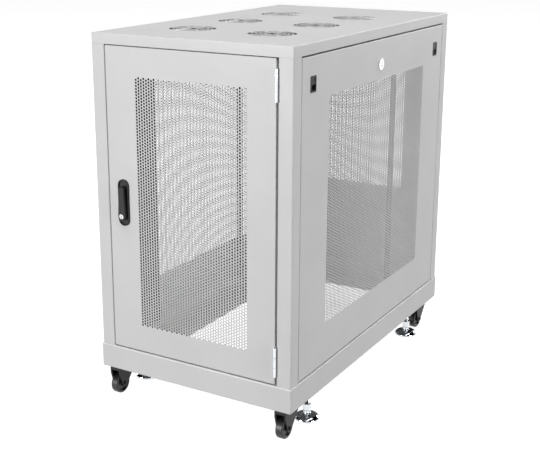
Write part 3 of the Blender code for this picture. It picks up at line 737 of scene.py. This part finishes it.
def hinges():
    """The barrel hinges with their ends eased."""
    for end in ("lower", "upper"):
        eased(f"front_hinge_{end}_pin", "chrome", PIN_EDGE)
        for door in ("front", "rear"):
            eased(f"{door}_hinge_{end}_frame_leaf", "chrome", LEAF_EDGE)
            eased(f"{door}_hinge_{end}_door_leaf", "chrome", LEAF_EDGE)


def handle_dish():
    """The swing handle's dish, hollow under the lever."""
    low, high = box_on(FRONT, "handle_dish")
    place = Matrix.Translation(((low.x + high.x) / 2, 0, 0))
    radius = (high.x - low.x) / 2
    ends = low.y + radius, high.y - radius
    body = prism(stadium(radius, radius, *ends), DISH_SEAT, high.z)
    inner = radius - DISH_WALL
    dish = cut(body, prism(stadium(inner, inner, *ends), DISH_FLOOR, high.z + PAST))
    rims = [e for e in dish.edges if all(v.co.z > high.z - FINE for v in e.verts)]
    ease(dish, DISH_RIM, 3, chosen=rims)
    instead_of("handle_dish", moved(dish, place, FRONT), "black_plastic")


def handle_lever():
    """The swing handle's tapered lever, with a slot for its spindle and a seat for its lock plug."""
    low, high = box_on(FRONT, "handle_lever")
    place = Matrix.Translation(((low.x + high.x) / 2, 0, 0))
    back, front = low.z, high.z
    wide = (high.x - low.x) / 2
    slim = wide * LEVER_TAPER
    lever = prism(stadium(wide, slim, low.y + wide, high.y - slim), back, front)
    fronts = [e for e in lever.edges if all(v.co.z > front - FINE for v in e.verts)]
    ease(lever, LEVER_FRONT, 4, chosen=fronts)
    backs = [e for e in lever.edges if all(v.co.z < back + FINE for v in e.verts)]
    ease(lever, LEVER_BACK, 1, chosen=backs)
    spindle_low, spindle_high = box_on(FRONT, "handle_spindle")
    pivot = (spindle_low.y + spindle_high.y) / 2
    slot = upright(SPINDLE_SLOT[:2], pivot, back - PAST, back + SPINDLE_SLOT[2])
    plug_low, plug_high = box_on(FRONT, "handle_lock_plug")
    seat = rod((plug_high.x - plug_low.x) / 2 + PLUG_GAP, back - PAST, front + PAST)
    moved(seat, Matrix.Translation((0, (plug_low.y + plug_high.y) / 2, 0)))
    instead_of("handle_lever", moved(cut(lever, slot, seat), place, FRONT), "black_plastic")


def handle_plug():
    """The swing handle's lock plug: a chamfered face, and a keyway that widens in its middle."""
    low, high = box_on(FRONT, "handle_lock_plug")
    back, front = box_on(FRONT, "handle_lever")[0].z, high.z
    radius = (high.x - low.x) / 2
    chamfer = [(radius - PLUG_LIP, front), (radius, front - PLUG_LIP)]
    plug = lathe([(0, front), *chamfer, (radius, back), (0, back)], 40)
    keys = [upright(size, 0, front - KEYWAY_DEPTH, front + PAST) for size in (KEYWAY, KEYWAY_MIDDLE)]
    place = Matrix.Translation(((low.x + high.x) / 2, (low.y + high.y) / 2, 0))
    instead_of("handle_lock_plug", moved(cut(plug, *keys), place, FRONT), "chrome")


def cam_lock(prefix, side):
    """A cam lock's barrel with its rounded flange and nut, and its plug with the cam."""
    name = prefix + "_barrel"
    low, high = box_on(side, name)
    place = Matrix.Translation(((low.x + high.x) / 2, (low.y + high.y) / 2, 0))
    flange, back, front = (high.x - low.x) / 2, low.z, high.z
    profile = [(LOCK_BORE, back), (LOCK_BORE, front - LOCK_MOUTH), (LOCK_BORE + LOCK_MOUTH, front)]
    profile += arc((flange - LOCK_EDGE, front - LOCK_EDGE), LOCK_EDGE, 90, 0, 5)
    profile += [(flange, LOCK_SEAT), (LOCK_BODY, LOCK_SEAT)]
    profile += [(LOCK_BODY, back + LOCK_END), (LOCK_BODY - LOCK_END, back)]
    instead_of(name, moved(lathe(profile, 56, ring=True), place, side), "chrome")
    nut = hexagon(LOCK_NUT, -SHEET - LOCK_NUT_FAR, -SHEET - LOCK_NUT_NEAR)
    nut = ease(cut(nut, rod(LOCK_BODY + LOCK_NUT_FIT, back, front)), LOCK_NUT_EDGE, 1)
    even_piece(prefix + "_nut", moved(nut, place, side), "zinc_plate", body_of(name))
    eased(prefix + "_plug", "chrome", CAM_EDGE)


def slide_latch(prefix, side):
    """A slide latch: its bezel, and its slider with three grip grooves across the thumb pad."""
    eased(prefix + "_bezel", "black_plastic", BEZEL_EDGE)
    name = prefix + "_slider"
    low, high = box_on(side, name)
    x, middle = (low.x + high.x) / 2, low.y + LATCH_PAD / 2
    grooves = []
    for step in (-1, 0, 1):
        y = middle + step * GROOVE_PITCH
        start = (x - GROOVE_LENGTH / 2, y - GROOVE / 2, high.z - GROOVE)
        grooves.append(block(start, (x + GROOVE_LENGTH / 2, y + GROOVE / 2, high.z + PAST)))
    slider = cut(flats(cad_copy(name)), moved(joined(*grooves), side))
    instead_of(name, ease(slider, SLIDER_EDGE), "black_plastic")


def levelling_foot(name):
    """A polished foot: a domed disc, a waisted collar, a chamfered hexagon and a threaded stem."""
    low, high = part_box(name)
    radius = (high.x - low.x) / 2
    neck, root, crest = FOOT_NECK, THREAD_ROOT, THREAD_CREST
    profile = [(0, 0), (radius - FOOT_CHAMFER, 0), (radius, FOOT_CHAMFER), (radius, FOOT_EDGE)]
    for out, up in arc((0, 0), 1.0, 0, DOME_SWEEP, DOME_STEPS)[1:]:
        profile.append((FOOT_SHOULDER + (radius - FOOT_SHOULDER) * out, FOOT_EDGE + FOOT_DOME * up))
    profile += [(neck + 2.4 * MM, 16.3 * MM), (neck + 0.8 * MM, 17.4 * MM), (neck, 19 * MM), (neck, 21 * MM)]
    profile += [(neck + 1 * MM, 22 * MM), (neck + 1 * MM, 25 * MM), (neck, 26 * MM), (root, FOOT_NUT_LOW)]
    for turn in range(int((high.z - THREAD_RUN_OUT) / THREAD_TURN)):
        start = THREAD_LOW + turn * THREAD_TURN
        profile += [(root, start), (crest, start + THREAD_TURN / 2)]
    profile += [(root, high.z - STEM_TIP), (root - 0.8 * MM, high.z), (0, high.z)]
    foot = lathe(list(reversed(profile)), 56)
    nut = ease(hexagon(FOOT_NUT, FOOT_NUT_LOW, FOOT_NUT_HIGH), FOOT_NUT_EDGE, 2)
    nut = cut(nut, rod(crest - 0.3 * MM, FOOT_NUT_LOW - 6.2 * MM, FOOT_NUT_HIGH + 6 * MM))
    place = Matrix.Translation(((low.x + high.x) / 2, (low.y + high.y) / 2, 0))
    instead_of(name, moved(joined(foot, nut), place), "chrome")


def wheel_profile(radius, hub):
    """A wheel's section: bore, boss, web, rim and rounded tread, the same on both sides."""
    rim = radius - RIM_DEPTH
    half = [(AXLE_BORE, 0), (AXLE_BORE, hub - BORE_EDGE), (AXLE_BORE + BORE_EDGE, hub)]
    half += [(BOSS - BOSS_EDGE, hub), (BOSS, hub - BOSS_EDGE), (BOSS, WEB + 1 * MM), (BOSS + 1 * MM, WEB)]
    half += [(rim - 2 * MM, WEB), (rim - 0.5 * MM, TREAD - 1 * MM), (rim + 0.5 * MM, TREAD)]
    half += arc((radius - TREAD_EDGE, TREAD - TREAD_EDGE), TREAD_EDGE, 90, 0, 6)
    return half + [(r, -h) for r, h in reversed(half[1:])]


def caster(place):
    """A caster: zinc plate, hooded fork with its axle nuts, and the moulded wheel."""
    fork, wheel, plate = (f"caster_{place}_{part}" for part in ("fork", "wheel", "plate"))
    eased(fork, "black_plastic", FORK_EDGE, 3)
    eased(plate, "zinc_plate", PLATE_EDGE)
    low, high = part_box(wheel)
    centre = Matrix.Translation((low + high) / 2)
    profile = wheel_profile((high.z - low.z) / 2, (high.x - low.x) / 2)
    turned = moved(lathe(profile, 64, ring=True), Matrix.Rotation(math.pi / 2, 4, "Y"), centre)
    instead_of(wheel, turned, "wheel_nylon")
    ear = (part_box(fork)[1].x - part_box(fork)[0].x) / 2
    for way, end in ((-1, "outer"), (1, "inner")):
        nut = ease(hexagon(AXLE_NUT, ear + AXLE_NUT_NEAR, ear + AXLE_NUT_FAR), AXLE_NUT_EDGE, 2)
        stub = ease(rod(AXLE_RADIUS, ear + AXLE_NEAR, ear + AXLE_FAR, 24), AXLE_EDGE, 1)
        turn = Matrix.Rotation(way * math.pi / 2, 4, "Y")
        shape = moved(joined(nut, stub), turn, centre)
        even_piece(f"caster_{place}_axle_nut_{end}", shape, "black_plastic", body_of(fork))


# Stage


def light_table():
    """A pale floor that glows, so that it stays even and the cabinet throws no hard shadow on it."""
    bm = bmesh.new()
    bmesh.ops.create_grid(bm, x_segments=1, y_segments=1, size=TABLE_SIZE)
    mesh = bpy.data.meshes.new("light_table")
    bm.to_mesh(mesh)
    bm.free()
    table = bpy.data.objects.new("light_table", mesh)
    bpy.context.scene.collection.objects.link(table)
    table.visible_diffuse = False
    table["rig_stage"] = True
    top = bpy.data.materials.new("pale_light_table")
    top.use_nodes = True
    shader = top.node_tree.nodes["Principled BSDF"]
    shader.inputs["Base Color"].default_value = linear("#8C8C8C")
    shader.inputs["Roughness"].default_value = 0.9
    shader.inputs["Emission Color"].default_value = linear("#FFFFFF")
    shader.inputs["Emission Strength"].default_value = TABLE_GLOW
    mesh.materials.append(top)


def white_room():
    """A white surround that is seen past the table but lights nothing."""
    world = bpy.data.worlds.new("white_room")
    bpy.context.scene.world = world
    world.use_nodes = True
    room = world.node_tree.nodes["Background"]
    room.inputs["Color"].default_value = linear("#FFFFFF")
    room.inputs["Strength"].default_value = ROOM_GLOW
    world.cycles_visibility.diffuse = False
    world.cycles_visibility.glossy = False


def soft_box(name, azimuth, elevation, size, level):
    """A large square soft light that faces the middle of the cabinet.

    The azimuth is in degrees from the front towards the right. A white card that faces a light of level 1
    comes out white.
    """
    turn = Matrix.Rotation(math.radians(azimuth), 4, "Z") @ Matrix.Rotation(math.radians(-elevation), 4, "X")
    way = turn @ Vector((0, -1, 0))
    lamp = bpy.data.lights.new(name, "AREA")
    lamp.size = size
    lamp.energy = level * math.pi**2 * SOFT_BOX_DISTANCE**2
    obj = bpy.data.objects.new(name, lamp)
    obj.location = Vector((0, 0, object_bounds()[1][2] / 2)) + way * SOFT_BOX_DISTANCE
    obj.rotation_euler = (-way).to_track_quat("-Z", "Y").to_euler()
    bpy.context.scene.collection.objects.link(obj)


def camera():
    """The camera, above and to the right of the front."""
    lens = bpy.data.cameras.new("camera")
    lens.sensor_width = FILM_WIDTH
    lens.lens = LENS
    lens.shift_x, lens.shift_y = SHIFT
    eye = bpy.data.objects.new("camera", lens)
    eye.location = EYE
    eye.rotation_euler = (math.radians(90 - EYE_DOWN), 0, math.radians(EYE_TURN))
    bpy.context.scene.collection.objects.link(eye)
    bpy.context.scene.camera = eye
    bpy.context.scene.view_settings.view_transform = "Standard"


def build():
    """The whole cabinet and its studio."""
    paint_nodes()
    punched_sheet("front_door", FRONT, FRONT_FIELD)
    punched_sheet("rear_door", REAR, REAR_FIELD)
    punched_sheet("side_panel_left", LEFT, SIDE_FIELD, 3)
    punched_sheet("side_panel_right", RIGHT, SIDE_FIELD, 3)
    cover()
    rear_rails()
    handle_dish()
    handle_lever()
    handle_plug()
    cam_lock("side_lock_left", LEFT)
    cam_lock("side_lock_right", RIGHT)
    cam_lock("rear_lock", REAR)
    hinges()
    for name, side in (("left", LEFT), ("right", RIGHT)):
        for end in ("front", "rear"):
            slide_latch(f"side_latch_{name}_{end}", side)
    for place in ("front_left", "front_right", "rear_left", "rear_right"):
        levelling_foot(f"levelling_foot_{place}")
        caster(place)
    light_table()
    white_room()
    for box in SOFT_BOXES:
        soft_box(*box)
    camera()


build()
